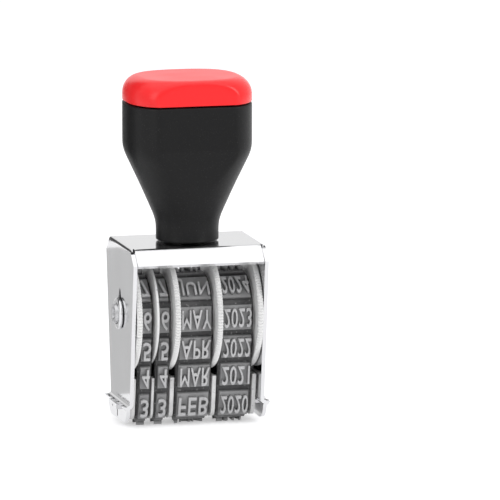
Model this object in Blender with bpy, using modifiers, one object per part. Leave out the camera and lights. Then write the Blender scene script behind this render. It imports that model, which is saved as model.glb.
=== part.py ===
"""Manual band date stamp: four rubber bands run round four thumb wheels and one platen
in a pressed steel frame, under a tapered handle with a coloured cap.

Metres. X runs across the stamp, -Y is its front, +Z is up. The origin is under the middle
of the printing face, on the surface that the stamp stands on.
"""

import math

import bmesh
import bpy
from mathutils import Matrix, Vector

# Gaps between pieces
SEAT_GAP = 0.0003
RUN_GAP = 0.00015
OVERRUN = 0.001
MERGE_DISTANCE = 0.000001

# Frame, pressed from one sheet
SHEET = 0.0008
PLATE_DEPTH = 0.018
APRON_REACH = 0.0032
APRON_DROP = 0.003
HEAD_ROOM = 0.0017
CHEEK_FOOT_HEIGHT = 0.0012
CHEEK_FOOT_HALF = 0.0083
CHEEK_CORNER_REACH = 0.0034
CHEEK_CORNER_RISE = 0.0038
STRAP_STEP = 0.0006
STRAP_HEIGHT = 0.0042
STRAP_LIP = 0.0004
SLIT_WIDTH = 0.0006

# Axle and its eyelets
AXLE_HEIGHT = 0.023
AXLE_RADIUS = 0.002
AXLE_BORE_RADIUS = 0.0013
AXLE_BORE_DEPTH = 0.004
AXLE_PROUD = 0.0014
AXLE_SLOT = 0.0006
EYELET_WALL = 0.0005
EYELET_FLANGE = 0.0007
EYELET_RIM = 0.0006
KEYHOLE_REACH = 0.0022

# Thumb wheels
DISC_RADIUS = 0.012
DISC_THICKNESS = 0.0011
RIB_DEPTH = 0.00035
RIB_COUNT = 120
HUB_GROOVE = 0.0003
HUB_GROOVE_COUNT = 12
SEPARATOR_RADIUS = 0.0108
SEPARATOR_THICKNESS = 0.0005

# Bands, with twelve characters round each
DAY_BAND_WIDTH = 0.0029
MONTH_BAND_WIDTH = 0.0074
YEAR_BAND_WIDTH = 0.007
BAND_THICKNESS = 0.0008
BAND_WHEEL_RADIUS = 0.0073
BAND_CORNER_RADIUS = 0.0015
CHARACTER_COUNT = 12
CHARACTER_HEIGHT = 0.004
CHARACTER_RELIEF = 0.0009
PAD_RELIEF = 0.0009
PAD_MARGIN = 0.0004
BLOCK_SIDE_MARGIN = 0.00035
BLOCK_ROOT = 0.0002

# Platen
PLATEN_RISE = 0.0066
FIN_PROUD = 0.0008
FIN_THICKNESS = 0.0008
FIN_TOP_GAP = 0.0006
TONGUE_THICKNESS = 0.0005
TONGUE_WIDTH = 0.006
TONGUE_ROOT = 0.002
TONGUE_RISE = 0.0021

# Handle
STEM_RADIUS = 0.0064
STEM_HEIGHT = 0.0032
TAPER_HEIGHT = 0.0162
SHOULDER_HEIGHT = 0.0089
HANDLE_HALF_WIDTH = 0.0129
HANDLE_HALF_DEPTH = 0.0119
FLAT_HALF_DEPTH = 0.0102
FLAT_LEAN = 0.0024
CAP_SKIRT = 0.0014
CAP_ROUND_RISE = 0.0037
CAP_ROUND_REACH = 0.0034
PEG_RADIUS = 0.0052
PEG_DEPTH = 0.004

# Handle screw and its washer
SCREW_RADIUS = 0.0018
SCREW_REACH = 0.012
SCREW_HEAD_RADIUS = 0.0027
SCREW_HEAD_HEIGHT = 0.0006
SCREW_SLOT = 0.0007
SCREW_SLOT_DEPTH = 0.0003
WASHER_RADIUS = 0.0034
WASHER_THICKNESS = 0.0003

# Counts of sides
ROUND_SIDES = 48
SMALL_SIDES = 32
LOFT_SIDES = 56
CAP_STEPS = 5
CORNER_STEPS = 4
WHEEL_STEPS = 12

# Pairs along the taper: share of its height, share of the widening reached there
TAPER_SHARES = ((0.0, 0.0), (0.08, 0.035), (0.2, 0.16), (0.5, 0.48), (0.8, 0.82), (0.93, 0.965), (1.0, 1.0))
# Superellipse powers of the stem and of the shoulder
STEM_POWER = 2.0
SHOULDER_POWER = 2.6

# Places across the stamp, worked out from the widths
SLOT_GAP = DISC_THICKNESS + 2 * RUN_GAP
DAY_GAP = SEPARATOR_THICKNESS + 2 * RUN_GAP
STACK_WIDTH = 2 * DAY_BAND_WIDTH + MONTH_BAND_WIDTH + YEAR_BAND_WIDTH + 4 * SLOT_GAP + DAY_GAP
INNER_HALF = STACK_WIDTH / 2
OUTER_HALF = INNER_HALF + SHEET
DAY_TENS_LOW = -INNER_HALF + SLOT_GAP
DAY_UNITS_LOW = DAY_TENS_LOW + DAY_BAND_WIDTH + DAY_GAP
MONTH_LOW = DAY_UNITS_LOW + DAY_BAND_WIDTH + SLOT_GAP
YEAR_LOW = MONTH_LOW + MONTH_BAND_WIDTH + SLOT_GAP
DAY_SEPARATOR_X = DAY_UNITS_LOW - DAY_GAP / 2

# Heights, worked out from the axle upwards
PLATE_BOTTOM = AXLE_HEIGHT + DISC_RADIUS + HEAD_ROOM
PLATE_TOP = PLATE_BOTTOM + SHEET
APRON_HALF = PLATE_DEPTH / 2 + APRON_REACH
HANDLE_BASE = PLATE_TOP + SEAT_GAP
SHOULDER_BASE = HANDLE_BASE + STEM_HEIGHT + TAPER_HEIGHT
HANDLE_TOP = SHOULDER_BASE + SHOULDER_HEIGHT
CAP_BASE = HANDLE_TOP + SEAT_GAP
CAP_TOP = CAP_BASE + CAP_SKIRT + CAP_ROUND_RISE

# Band path: its middle line runs flat under the platen, round a corner, up a tangent
# and over the wheel
PAD_LENGTH = CHARACTER_HEIGHT + 2 * PAD_MARGIN
TYPE_OFFSET = BAND_THICKNESS / 2 + PAD_RELIEF + CHARACTER_RELIEF
PATH_LOW = TYPE_OFFSET
FLAT_HALF = PAD_LENGTH / 2 + PAD_MARGIN / 4
CORNER_Z = PATH_LOW + BAND_CORNER_RADIUS
PATH_RISE = AXLE_HEIGHT - CORNER_Z
PATH_SPAN = math.hypot(FLAT_HALF, PATH_RISE)
PATH_RADII = BAND_WHEEL_RADIUS - BAND_CORNER_RADIUS
TANGENT_ANGLE = math.atan2(FLAT_HALF, PATH_RISE) + math.acos(PATH_RADII / PATH_SPAN)
TANGENT_LENGTH = math.sqrt(PATH_SPAN ** 2 - PATH_RADII ** 2)
CORNER_END = FLAT_HALF + BAND_CORNER_RADIUS * TANGENT_ANGLE
TANGENT_END = CORNER_END + TANGENT_LENGTH
PATH_HALF_LENGTH = TANGENT_END + BAND_WHEEL_RADIUS * (math.pi - TANGENT_ANGLE)
PITCH = 2 * PATH_HALF_LENGTH / CHARACTER_COUNT
HUB_RADIUS = BAND_WHEEL_RADIUS - BAND_THICKNESS / 2 - SEAT_GAP
TONGUE_Z = PATH_LOW + TONGUE_RISE

# Outlines are drawn with Y across and Z up, and carried along X
OUTLINE_TO_WORLD = Matrix(((0, 0, 1, 0), (1, 0, 0, 0), (0, 1, 0, 0), (0, 0, 0, 1)))

# Colour, roughness and metallic value of each finish
BLACK_PLASTIC = ((0.018, 0.018, 0.019, 1), 0.42, 0)
RED_PLASTIC = ((0.8, 0.02, 0.022, 1), 0.3, 0)
BRIGHT_STEEL = ((0.78, 0.78, 0.78, 1), 0.16, 1)
DARK_STEEL = ((0.5, 0.5, 0.5, 1), 0.35, 1)
WHITE_PLASTIC = ((0.74, 0.74, 0.73, 1), 0.45, 0)
GREY_RUBBER = ((0.16, 0.16, 0.16, 1), 0.6, 0)


def clear_scene():
    for thing in list(bpy.data.objects):
        bpy.data.objects.remove(thing, do_unlink=True)


def new_collection(name):
    group = bpy.data.collections.new(name)
    bpy.context.scene.collection.children.link(group)
    return group


def add_object(name, mesh, place=(0, 0, 0)):
    thing = bpy.data.objects.new(name, mesh)
    thing.location = place
    STAMP.objects.link(thing)
    return thing


def finish(thing, name, look):
    """Give a piece its own material and smooth its round faces."""
    colour, roughness, metallic = look
    paint = bpy.data.materials.new(name)
    paint.use_nodes = True
    shader = paint.node_tree.nodes["Principled BSDF"]
    shader.inputs["Base Color"].default_value = colour
    shader.inputs["Roughness"].default_value = roughness
    shader.inputs["Metallic"].default_value = metallic
    thing.data.materials.append(paint)
    thing.data.shade_smooth()
    thing.data.set_sharp_from_angle(angle=math.radians(30))
    return thing


def make_cutter(thing):
    """Keep a solid as another piece's boolean operand."""
    STAMP.objects.unlink(thing)
    CUTTERS.objects.link(thing)
    thing.hide_render = True
    thing.display_type = "WIRE"
    return thing


def combine(thing, other, operation):
    step = thing.modifiers.new(other.name, "BOOLEAN")
    step.operation = operation
    step.object = make_cutter(other)


def outline_solid(name, loops, low, high):
    """Carry closed outlines of (y, z) points along X, from low to high.

    A second loop inside the first is a hole.
    """
    curve = bpy.data.curves.new(name, "CURVE")
    curve.dimensions = "2D"
    curve.fill_mode = "BOTH"
    curve.extrude = (high - low) / 2
    for loop in loops:
        spline = curve.splines.new("POLY")
        spline.points.add(len(loop) - 1)
        for point, (y, z) in zip(spline.points, loop):
            point.co = (y, z, 0, 1)
        spline.use_cyclic_u = True
    drawn = bpy.data.objects.new(name, curve)
    STAMP.objects.link(drawn)
    bpy.context.view_layer.update()
    mesh = bpy.data.meshes.new_from_object(drawn.evaluated_get(bpy.context.evaluated_depsgraph_get()))
    bpy.data.objects.remove(drawn, do_unlink=True)
    mesh.transform(Matrix.Translation(((low + high) / 2, 0, 0)) @ OUTLINE_TO_WORLD)
    weld(mesh)
    return add_object(name, mesh)


def weld(mesh):
    """Join the caps to the sides and merge the triangles of each flat face."""
    work = bmesh.new()
    work.from_mesh(mesh)
    bmesh.ops.remove_doubles(work, verts=work.verts, dist=MERGE_DISTANCE)
    flat = math.radians(0.1)
    bmesh.ops.dissolve_limit(work, angle_limit=flat, verts=work.verts, edges=work.edges)
    bmesh.ops.recalc_face_normals(work, faces=work.faces)
    work.to_mesh(mesh)
    work.free()


def box_solid(name, low, high):
    work = bmesh.new()
    middle = (Vector(low) + Vector(high)) / 2
    sizes = Vector(high) - Vector(low)
    bmesh.ops.create_cube(work, size=1, matrix=Matrix.Translation(middle) @ Matrix.Diagonal((*sizes, 1)))
    mesh = bpy.data.meshes.new(name)
    work.to_mesh(mesh)
    work.free()
    return add_object(name, mesh)


def cylinder_x(name, radius, low, high, height, sides=SMALL_SIDES):
    """A plain cylinder along X at the given height."""
    work = bmesh.new()
    turn = Matrix.Rotation(math.pi / 2, 4, "Y")
    place = Matrix.Translation(((low + high) / 2, 0, height)) @ turn
    bmesh.ops.create_cone(
        work, cap_ends=True, segments=sides, radius1=radius, radius2=radius, depth=high - low, matrix=place
    )
    mesh = bpy.data.meshes.new(name)
    work.to_mesh(mesh)
    work.free()
    return add_object(name, mesh)


def cylinder_z(name, radius, low, high, sides=SMALL_SIDES):
    """A plain cylinder up the middle of the handle."""
    thing = cylinder_x(name, radius, low, high, 0, sides)
    thing.data.transform(Matrix.Rotation(-math.pi / 2, 4, "Y"))
    return thing


def turned(name, profile, axis, sides=ROUND_SIDES):
    """Turn a profile of (radius, along) points about X or Z through the object's origin."""
    mesh = bpy.data.meshes.new(name)
    points = [(radius, 0, along) for radius, along in profile]
    closed = profile[0][0] > 0
    edges = [(i, i + 1) for i in range(len(points) - 1)]
    if closed:
        edges.append((len(points) - 1, 0))
    mesh.from_pydata(points, edges, [])
    thing = add_object(name, mesh)
    screw = thing.modifiers.new("turn", "SCREW")
    screw.steps = sides
    screw.render_steps = sides
    screw.use_merge_vertices = True
    screw.merge_threshold = MERGE_DISTANCE
    if axis == "X":
        thing.rotation_euler = (0, math.pi / 2, 0)
    return thing


def circle(radius, height, sides=SMALL_SIDES):
    steps = (2 * math.pi * i / sides for i in range(sides))
    return [(radius * math.cos(turn), height + radius * math.sin(turn)) for turn in steps]


def ribbed_circle(radius, depth, count, height):
    """A circle whose rim rises and falls by depth, with a crest and a valley for each rib."""
    points = []
    for i in range(2 * count):
        reach = radius - depth * (i % 2)
        turn = math.pi * i / count
        points.append((reach * math.cos(turn), height + reach * math.sin(turn)))
    return points


def path_point(along, offset):
    """The (y, z) point at a length along the band's middle line, moved outwards by offset.

    Length 0 is under the platen's middle, and the line rises up the front first.
    """
    whole = 2 * PATH_HALF_LENGTH
    along = (along + PATH_HALF_LENGTH) % whole - PATH_HALF_LENGTH
    side = -1 if along >= 0 else 1
    run = abs(along)
    if run <= FLAT_HALF:
        return side * run, PATH_LOW - offset
    if run <= TANGENT_END:
        angle = min((run - FLAT_HALF) / BAND_CORNER_RADIUS, TANGENT_ANGLE)
        reach = BAND_CORNER_RADIUS + offset
        rise = max(run - CORNER_END, 0)
        y = FLAT_HALF + reach * math.sin(angle) + rise * math.cos(TANGENT_ANGLE)
        z = CORNER_Z - reach * math.cos(angle) + rise * math.sin(TANGENT_ANGLE)
        return side * y, z
    angle = TANGENT_ANGLE + (run - TANGENT_END) / BAND_WHEEL_RADIUS
    reach = BAND_WHEEL_RADIUS + offset
    return side * reach * math.sin(angle), AXLE_HEIGHT - reach * math.cos(angle)


def path_normal(along):
    """The angle of the outward normal at a length along the band, from straight down to the front."""
    run = abs(along)
    if run <= FLAT_HALF:
        return 0.0
    if run <= TANGENT_END:
        return math.copysign(min((run - FLAT_HALF) / BAND_CORNER_RADIUS, TANGENT_ANGLE), along)
    return math.copysign(TANGENT_ANGLE + (run - TANGENT_END) / BAND_WHEEL_RADIUS, along)


def path_run(start, end, offset):
    """Points along the band's path from start to end: the ends of its straights and steps round its arcs."""
    half = [FLAT_HALF + (CORNER_END - FLAT_HALF) * i / CORNER_STEPS for i in range(CORNER_STEPS + 1)]
    half += [TANGENT_END + (PATH_HALF_LENGTH - TANGENT_END) * i / WHEEL_STEPS for i in range(WHEEL_STEPS)]
    stops = sorted(side * along for along in half for side in (-1, 1))
    inside = [along for along in stops if start < along < end]
    return [path_point(along, offset) for along in [start, *inside, end]]


def band_outline():
    """The band's outer outline: a strip with a raised pad at each character."""
    low = BAND_THICKNESS / 2
    high = low + PAD_RELIEF
    points = []
    for k in range(CHARACTER_COUNT):
        start = k * PITCH - PAD_LENGTH / 2
        end = k * PITCH + PAD_LENGTH / 2
        points += [path_point(start, low), path_point(start, high)]
        points += [path_point(end, high), path_point(end, low)]
        points.append(path_point((k + 0.5) * PITCH, low))
    return points


def character_blocks(name, low, high):
    """One raised block on each pad, the outline of the character that stands there."""
    work = bmesh.new()
    depth = CHARACTER_RELIEF + BLOCK_ROOT
    for k in range(CHARACTER_COUNT):
        along = (k * PITCH + PATH_HALF_LENGTH) % (2 * PATH_HALF_LENGTH) - PATH_HALF_LENGTH
        y_start, z_start = path_point(along - PAD_LENGTH / 2, TYPE_OFFSET)
        y_end, z_end = path_point(along + PAD_LENGTH / 2, TYPE_OFFSET)
        angle = path_normal(along)
        drop = Vector((0, math.sin(angle), math.cos(angle))) * (depth / 2)
        middle = Vector(((low + high) / 2, (y_start + y_end) / 2, (z_start + z_end) / 2)) + drop
        turn = Matrix.Rotation(-angle, 4, "X")
        sizes = (high - low - 2 * BLOCK_SIDE_MARGIN, CHARACTER_HEIGHT, depth)
        place = Matrix.Translation(middle) @ turn @ Matrix.Diagonal((*sizes, 1))
        bmesh.ops.create_cube(work, size=1, matrix=place)
    mesh = bpy.data.meshes.new(name)
    work.to_mesh(mesh)
    work.free()
    return add_object(name, mesh)


def make_band(name, low, width):
    """A rubber band: an endless strip, its twelve pads and the block of each character."""
    loop = path_run(-PATH_HALF_LENGTH, PATH_HALF_LENGTH, -BAND_THICKNESS / 2)[:-1]
    band = outline_solid(name, [band_outline(), loop], low, low + width)
    combine(band, character_blocks(name + "_blocks", low, low + width), "UNION")
    finish(band, name, GREY_RUBBER)


def make_wheel(name, low, width, disc_low, hub_low, hub_high):
    """A thumb wheel: a ribbed disc beside the band and the hub that the band runs on."""
    rim = ribbed_circle(DISC_RADIUS, RIB_DEPTH, RIB_COUNT, 0)
    wheel = outline_solid(name, [rim], disc_low, disc_low + DISC_THICKNESS)
    grooved = ribbed_circle(HUB_RADIUS, HUB_GROOVE, HUB_GROOVE_COUNT, 0)
    hub = outline_solid(name + "_hub", [grooved], hub_low, hub_high)
    hub.location.z = AXLE_HEIGHT
    wheel.location.z = AXLE_HEIGHT
    combine(wheel, hub, "UNION")
    bore_radius = AXLE_RADIUS + RUN_GAP
    bore_low = min(disc_low, hub_low) - OVERRUN
    bore_high = max(disc_low + DISC_THICKNESS, hub_high) + OVERRUN
    combine(wheel, cylinder_x(name + "_bore", bore_radius, bore_low, bore_high, AXLE_HEIGHT), "DIFFERENCE")
    finish(wheel, name, WHITE_PLASTIC)


def make_wheels():
    """Four wheels: the tens wheel has its disc on its left, and each other on its right."""
    inset = DISC_THICKNESS / 2
    tens_disc = DAY_TENS_LOW - RUN_GAP - DISC_THICKNESS
    tens_hub = (tens_disc + inset, DAY_TENS_LOW + DAY_BAND_WIDTH)
    make_wheel("wheel_day_tens", DAY_TENS_LOW, DAY_BAND_WIDTH, tens_disc, *tens_hub)
    right_hand = (
        ("wheel_day_units", DAY_UNITS_LOW, DAY_BAND_WIDTH),
        ("wheel_month", MONTH_LOW, MONTH_BAND_WIDTH),
        ("wheel_year", YEAR_LOW, YEAR_BAND_WIDTH),
    )
    for name, low, width in right_hand:
        disc = low + width + RUN_GAP
        make_wheel(name, low, width, disc, low, disc + inset)


def make_bands():
    make_band("band_day_tens", DAY_TENS_LOW, DAY_BAND_WIDTH)
    make_band("band_day_units", DAY_UNITS_LOW, DAY_BAND_WIDTH)
    make_band("band_month", MONTH_LOW, MONTH_BAND_WIDTH)
    make_band("band_year", YEAR_LOW, YEAR_BAND_WIDTH)


def make_separator():
    """The plain thin disc that keeps the two day bands apart."""
    rim = circle(SEPARATOR_RADIUS, AXLE_HEIGHT, ROUND_SIDES)
    bore = circle(AXLE_RADIUS + RUN_GAP, AXLE_HEIGHT)
    half = SEPARATOR_THICKNESS / 2
    disc = outline_solid("day_separator", [rim, bore], DAY_SEPARATOR_X - half, DAY_SEPARATOR_X + half)
    finish(disc, "day_separator", WHITE_PLASTIC)


def cheek_outline():
    """Half of a cheek from the middle of its foot up the front, then mirrored to the back."""
    corner_steps = 5
    centre = (CHEEK_FOOT_HALF - CHEEK_CORNER_REACH, CHEEK_FOOT_HEIGHT + CHEEK_CORNER_RISE)
    half = []
    for i in range(corner_steps + 1):
        turn = math.pi / 2 * i / corner_steps
        y = centre[0] + CHEEK_CORNER_REACH * math.sin(turn)
        half.append((y, centre[1] - CHEEK_CORNER_RISE * math.cos(turn)))
    half += [(APRON_HALF, PLATE_TOP - APRON_DROP), (PLATE_DEPTH / 2, PLATE_TOP)]
    return half + [(-y, z) for y, z in reversed(half)]


def strap_outline():
    """The foot of a cheek, pressed outwards to hold the platen's tongue."""
    top = CHEEK_FOOT_HEIGHT + STRAP_HEIGHT
    reach = CHEEK_FOOT_HALF - CHEEK_CORNER_REACH
    low = [(reach, CHEEK_FOOT_HEIGHT), (CHEEK_FOOT_HALF, CHEEK_FOOT_HEIGHT + CHEEK_CORNER_RISE / 2)]
    low[1] = (CHEEK_FOOT_HALF - STRAP_LIP, low[1][1])
    high = [(CHEEK_FOOT_HALF, CHEEK_FOOT_HEIGHT + CHEEK_CORNER_RISE), (CHEEK_FOOT_HALF, top)]
    half = low + high
    return half + [(-y, z) for y, z in reversed(half)]


def apron_outline(side):
    """The sheet's section down one apron, from under the plate to the lip."""
    lean = math.atan2(APRON_DROP, APRON_REACH)
    thick_y = SHEET * math.sin(lean)
    thick_z = SHEET * math.cos(lean)
    root = PLATE_DEPTH / 2
    lip_z = PLATE_TOP - APRON_DROP
    inner_root = root - SHEET * math.tan(lean / 2)
    points = [(inner_root, PLATE_TOP - SHEET), (root - SHEET, PLATE_TOP - SHEET), (root - SHEET, PLATE_TOP)]
    points += [(root, PLATE_TOP), (APRON_HALF, lip_z), (APRON_HALF - thick_y, lip_z - thick_z)]
    return [(side * y, z) for y, z in points]


def make_frame():
    """The pressed frame: a top plate, two sloped aprons and two cheeks with their straps."""
    half_sheet = SHEET / 2
    name = "frame_bracket"
    plate_low = (half_sheet - OUTER_HALF, -PLATE_DEPTH / 2, PLATE_BOTTOM)
    frame = box_solid(name, plate_low, (OUTER_HALF - half_sheet, PLATE_DEPTH / 2, PLATE_TOP))
    apron_half = INNER_HALF - RUN_GAP
    for label, side in (("front", -1), ("rear", 1)):
        apron = outline_solid(f"apron_{label}", [apron_outline(side)], -apron_half, apron_half)
        combine(frame, apron, "UNION")
    for label, low in (("left", -OUTER_HALF), ("right", INNER_HALF)):
        combine(frame, outline_solid(f"cheek_{label}", [cheek_outline()], low, low + SHEET), "UNION")
    for label, low in (("left", -OUTER_HALF - STRAP_STEP), ("right", INNER_HALF + half_sheet)):
        strap = outline_solid(f"strap_{label}", [strap_outline()], low, low + STRAP_STEP + half_sheet)
        combine(frame, strap, "UNION")
    for cutter in frame_cutters():
        combine(frame, cutter, "DIFFERENCE")
    finish(frame, name, BRIGHT_STEEL)


def frame_cutters():
    """The holes in the sheet: the eyelets', the tongues' slits and the handle screw's."""
    reach = OUTER_HALF + STRAP_STEP + OVERRUN
    hole_radius = AXLE_RADIUS + RUN_GAP + EYELET_WALL + RUN_GAP
    hole = cylinder_x("eyelet_hole", hole_radius, -reach, reach, AXLE_HEIGHT)
    slit_half = TONGUE_WIDTH / 2 + SEAT_GAP
    slit_rise = TONGUE_THICKNESS / 2 + SEAT_GAP
    slit = box_solid("tongue_slit", (-reach, -slit_half, TONGUE_Z - slit_rise), (reach, slit_half, TONGUE_Z + slit_rise))
    split_low = CHEEK_FOOT_HEIGHT + SLIT_WIDTH
    split = box_solid("strap_slit", (-reach, -SLIT_WIDTH / 2, split_low), (reach, SLIT_WIDTH / 2, TONGUE_Z))
    screw_radius = SCREW_RADIUS + SEAT_GAP
    screw_hole = cylinder_z("screw_hole", screw_radius, PLATE_BOTTOM - OVERRUN, PLATE_TOP + OVERRUN)
    tip = AXLE_HEIGHT + hole_radius + KEYHOLE_REACH
    point = [(-hole_radius / 2, AXLE_HEIGHT + hole_radius / 2), (hole_radius / 2, AXLE_HEIGHT + hole_radius / 2), (0, tip)]
    keyhole = outline_solid("keyhole", [point], -reach, reach)
    return [hole, slit, split, screw_hole, keyhole]


def make_axle():
    """A steel rod through both cheeks, bored and slotted at its ends."""
    half = OUTER_HALF + AXLE_PROUD
    floor = half - AXLE_BORE_DEPTH
    profile = [(0, floor), (AXLE_BORE_RADIUS, floor), (AXLE_BORE_RADIUS, half), (AXLE_RADIUS, half)]
    profile += [(radius, -along) for radius, along in reversed(profile)]
    axle = turned("axle", profile, "X", SMALL_SIDES)
    axle.location.z = AXLE_HEIGHT
    for label, side in (("left", -1), ("right", 1)):
        inner = side * (half - AXLE_PROUD / 2)
        outer = side * (half + OVERRUN)
        low = (min(inner, outer), -AXLE_SLOT / 2, AXLE_HEIGHT - AXLE_RADIUS - OVERRUN)
        high = (max(inner, outer), AXLE_SLOT / 2, AXLE_HEIGHT + AXLE_RADIUS + OVERRUN)
        combine(axle, box_solid(f"axle_slot_{label}", low, high), "DIFFERENCE")
    finish(axle, "axle", DARK_STEEL)


def make_eyelet(name, side):
    """A steel eyelet in a cheek's hole, with its flange outside."""
    inner = AXLE_RADIUS + RUN_GAP
    outer = inner + EYELET_WALL
    start = INNER_HALF + RUN_GAP
    seat = OUTER_HALF + RUN_GAP
    end = seat + EYELET_FLANGE
    profile = [(inner, end), (outer + EYELET_RIM, end), (outer + EYELET_RIM, seat), (outer, seat)]
    profile += [(outer, start), (inner, start)]
    eyelet = turned(name, profile, "X", SMALL_SIDES)
    eyelet.location.z = AXLE_HEIGHT
    if side < 0:
        eyelet.rotation_euler = (0, -math.pi / 2, 0)
    finish(eyelet, name, BRIGHT_STEEL)


def path_length_at(height):
    """How far up the tangent the band's middle line reaches a height."""
    corner_top = CORNER_Z - BAND_CORNER_RADIUS * math.cos(TANGENT_ANGLE)
    return CORNER_END + (height - corner_top) / math.sin(TANGENT_ANGLE)


def make_platen():
    """The plastic bar inside the bands, with a fin between each band and the next."""
    bar_top = path_length_at(PATH_LOW + PLATEN_RISE)
    bar_offset = -BAND_THICKNESS / 2 - SEAT_GAP
    end = INNER_HALF - RUN_GAP
    platen = outline_solid("platen", [path_run(-bar_top, bar_top, bar_offset)], -end, end)
    fin_top = path_length_at(AXLE_HEIGHT - DISC_RADIUS - FIN_TOP_GAP)
    fin = path_run(-fin_top, fin_top, FIN_PROUD)
    slots = [DAY_TENS_LOW - SLOT_GAP / 2, MONTH_LOW - SLOT_GAP / 2, YEAR_LOW - SLOT_GAP / 2, INNER_HALF - SLOT_GAP / 2]
    fins = [(x, FIN_THICKNESS) for x in slots] + [(DAY_SEPARATOR_X, SEPARATOR_THICKNESS)]
    for number, (x, thickness) in enumerate(fins):
        combine(platen, outline_solid(f"platen_fin_{number}", [fin], x - thickness / 2, x + thickness / 2), "UNION")
    half = TONGUE_WIDTH / 2 + RUN_GAP
    rise = TONGUE_THICKNESS / 2 + RUN_GAP
    for label, side in (("left", -1), ("right", 1)):
        inner = side * (end - TONGUE_ROOT - RUN_GAP)
        outer = side * (end + OVERRUN)
        low = (min(inner, outer), -half, TONGUE_Z - rise)
        pocket = box_solid(f"pocket_{label}", low, (max(inner, outer), half, TONGUE_Z + rise))
        combine(platen, pocket, "DIFFERENCE")
    finish(platen, "platen", WHITE_PLASTIC)


def make_tongues():
    """Steel tongues that hold the platen in the cheeks' slits."""
    for name, side in (("platen_tongue_left", -1), ("platen_tongue_right", 1)):
        inner = side * (INNER_HALF - RUN_GAP - TONGUE_ROOT)
        outer = side * (OUTER_HALF + STRAP_STEP)
        low = (min(inner, outer), -TONGUE_WIDTH / 2, TONGUE_Z - TONGUE_THICKNESS / 2)
        high = (max(inner, outer), TONGUE_WIDTH / 2, TONGUE_Z + TONGUE_THICKNESS / 2)
        finish(box_solid(name, low, high), name, DARK_STEEL)


def superellipse(half_x, half_y, power, height):
    """A ring of points on |x / half_x|^power + |y / half_y|^power = 1."""
    ring = []
    for i in range(LOFT_SIDES):
        turn = 2 * math.pi * i / LOFT_SIDES
        c = math.cos(turn)
        s = math.sin(turn)
        x = half_x * math.copysign(abs(c) ** (2 / power), c)
        y = half_y * math.copysign(abs(s) ** (2 / power), s)
        ring.append((x, y, height))
    return ring


def loft(name, rings):
    """Skin rings of equal counts of points, bottom to top, and close both ends."""
    count = len(rings[0])
    points = [point for ring in rings for point in ring]
    faces = []
    for level in range(len(rings) - 1):
        base = level * count
        for i in range(count):
            j = (i + 1) % count
            faces.append((base + i, base + j, base + count + j, base + count + i))
    faces.append(tuple(reversed(range(count))))
    faces.append(tuple(range(len(points) - count, len(points))))
    mesh = bpy.data.meshes.new(name)
    mesh.from_pydata(points, [], faces)
    return add_object(name, mesh)


def flats_cutter(label, side):
    """The block that trims one broad side flat, upright above and leaning in down the taper."""
    outer = HANDLE_HALF_DEPTH + OVERRUN
    lean_low = HANDLE_BASE + STEM_HEIGHT
    points = [(FLAT_HALF_DEPTH, CAP_TOP + OVERRUN), (outer, CAP_TOP + OVERRUN), (outer, lean_low)]
    points += [(FLAT_HALF_DEPTH - FLAT_LEAN, lean_low), (FLAT_HALF_DEPTH, SHOULDER_BASE)]
    reach = HANDLE_HALF_WIDTH + OVERRUN
    return outline_solid(label, [[(side * y, z) for y, z in points]], -reach, reach)


def make_handle():
    """The black grip: a round stem that widens into a flat-sided shoulder."""
    rings = [superellipse(STEM_RADIUS, STEM_RADIUS, STEM_POWER, HANDLE_BASE)]
    for height_share, widening_share in TAPER_SHARES:
        half_x = STEM_RADIUS + (HANDLE_HALF_WIDTH - STEM_RADIUS) * widening_share
        half_y = STEM_RADIUS + (HANDLE_HALF_DEPTH - STEM_RADIUS) * widening_share
        power = STEM_POWER + (SHOULDER_POWER - STEM_POWER) * widening_share
        z = HANDLE_BASE + STEM_HEIGHT + TAPER_HEIGHT * height_share
        rings.append(superellipse(half_x, half_y, power, z))
    rings.append(superellipse(HANDLE_HALF_WIDTH, HANDLE_HALF_DEPTH, SHOULDER_POWER, HANDLE_TOP))
    handle = loft("handle_body", rings)
    for label, side in (("front", -1), ("rear", 1)):
        combine(handle, flats_cutter(f"handle_flat_{label}", side), "DIFFERENCE")
    bore_top = HANDLE_BASE + SCREW_REACH + SEAT_GAP
    bore = cylinder_z("handle_bore", SCREW_RADIUS + SEAT_GAP, HANDLE_BASE - OVERRUN, bore_top)
    combine(handle, bore, "DIFFERENCE")
    socket_low = HANDLE_TOP - PEG_DEPTH - SEAT_GAP
    socket = cylinder_z("cap_socket", PEG_RADIUS + SEAT_GAP, socket_low, HANDLE_TOP + OVERRUN)
    combine(handle, socket, "DIFFERENCE")
    finish(handle, "handle_body", BLACK_PLASTIC)


def make_cap():
    """The red cap: the shoulder's plan carried up and rounded over, with a peg below."""
    rings = [superellipse(HANDLE_HALF_WIDTH, HANDLE_HALF_DEPTH, SHOULDER_POWER, CAP_BASE)]
    for i in range(CAP_STEPS + 1):
        turn = math.pi / 2 * i / CAP_STEPS
        inset = CAP_ROUND_REACH * (1 - math.cos(turn))
        z = CAP_BASE + CAP_SKIRT + CAP_ROUND_RISE * math.sin(turn)
        rings.append(superellipse(HANDLE_HALF_WIDTH - inset, HANDLE_HALF_DEPTH - inset, SHOULDER_POWER, z))
    cap = loft("handle_cap", rings)
    for label, side in (("front", -1), ("rear", 1)):
        combine(cap, flats_cutter(f"cap_flat_{label}", side), "DIFFERENCE")
    peg = cylinder_z("cap_peg", PEG_RADIUS, HANDLE_TOP - PEG_DEPTH, CAP_BASE + CAP_SKIRT)
    combine(cap, peg, "UNION")
    finish(cap, "handle_cap", RED_PLASTIC)


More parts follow.
